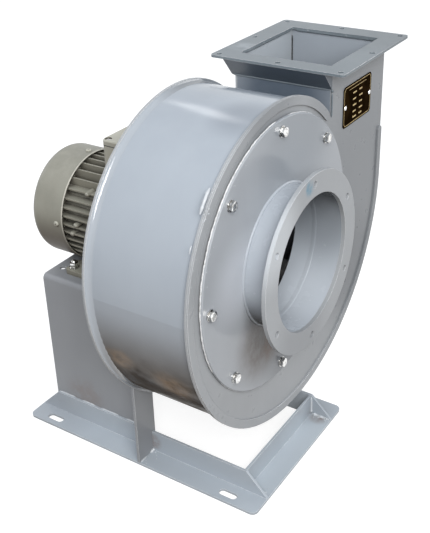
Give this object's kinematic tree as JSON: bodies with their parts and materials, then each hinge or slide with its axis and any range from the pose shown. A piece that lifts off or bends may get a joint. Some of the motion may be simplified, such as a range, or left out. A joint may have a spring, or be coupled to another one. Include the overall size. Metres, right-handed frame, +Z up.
{
  "type": "centrifugal fan",
  "caption": "Direct-drive centrifugal fan: painted scroll housing with upward outlet, flanged round inlet, backward-curved impeller and foot-mounted motor on a sheet pedestal.",
  "frame": {"origin": "centre of the four anchor slots, at floor level", "axes": "+X along the shaft, out of the inlet; +Y to the right when facing the inlet, on the outlet's side; +Z up"},
  "size_m": [0.4535, 0.597, 0.58],
  "materials": {
    "housing_paint": "glossy",
    "base_paint": "glossy",
    "zinc_steel": "satin",
    "impeller_paint": "satin",
    "cast_hub": "rough",
    "motor_paint": "satin",
    "cowl_paint": "satin",
    "box_paint": "satin",
    "bare_steel": "satin",
    "windings": "lacquered",
    "rubber_black": "matt",
    "plastic_black": "matt",
    "plate_dark": "satin",
    "rivet_metal": "bright"
  },
  "bodies": {
    "housing": {"back_side_plate": "housing_paint", "base_rail_left": "base_paint", "base_rail_right": "base_paint", "cable_gland": "plastic_black", "cover_bolts": "zinc_steel", "cover_gasket": "rubber_black", "cover_nuts": "zinc_steel", "cover_washers": "zinc_steel", "cowl_screws": "zinc_steel", "drive_bearing_outer_ring": "bare_steel", "drive_end_shield": "motor_paint", "drive_shield_screws": "zinc_steel", "fan_cowl": "cowl_paint", "foot_bolts": "zinc_steel", "foot_nuts": "zinc_steel", "foot_washers": "zinc_steel", "front_cross_bar": "base_paint", "front_rim_band": "housing_paint", "front_side_plate": "housing_paint", "inlet_cone": "housing_paint", "inlet_cover_plate": "housing_paint", "inlet_duct": "housing_paint", "inlet_flange": "housing_paint", "lid_gasket": "rubber_black", "lid_screws": "zinc_steel", "motor_housing": "motor_paint", "motor_pedestal": "base_paint", "name_plate": "plate_dark", "name_plate_rivets": "rivet_metal", "outlet_flange": "housing_paint", "outlet_skirt": "housing_paint", "rear_bearing_outer_ring": "bare_steel", "rear_end_shield": "motor_paint", "rear_shield_screws": "zinc_steel", "scroll_wrap": "housing_paint", "seal_plate_screws": "zinc_steel", "shaft_seal": "rubber_black", "shaft_seal_plate": "housing_paint", "stator_core": "bare_steel", "stator_windings": "windings", "terminal_block": "plastic_black", "terminal_box": "box_paint", "terminal_box_lid": "box_paint"},
    "rotor": {"impeller_back_plate": "impeller_paint", "impeller_shroud": "impeller_paint", "impeller_blades": "impeller_paint", "impeller_hub": "cast_hub", "hub_key": "bare_steel", "hub_rivets": "bare_steel", "hub_washer": "zinc_steel", "hub_bolt": "zinc_steel", "motor_shaft": "bare_steel", "rotor_core": "bare_steel", "drive_bearing_inner_ring": "bare_steel", "rear_bearing_inner_ring": "bare_steel", "cooling_fan": "plastic_black"}
  },
  "joints": [
    {"name": "rotor_spin", "type": "hinge", "parent": "housing", "child": "rotor", "pos_m": [0, 0, 0.355], "axis": [1, 0, 0], "continuous": true}
  ]
}
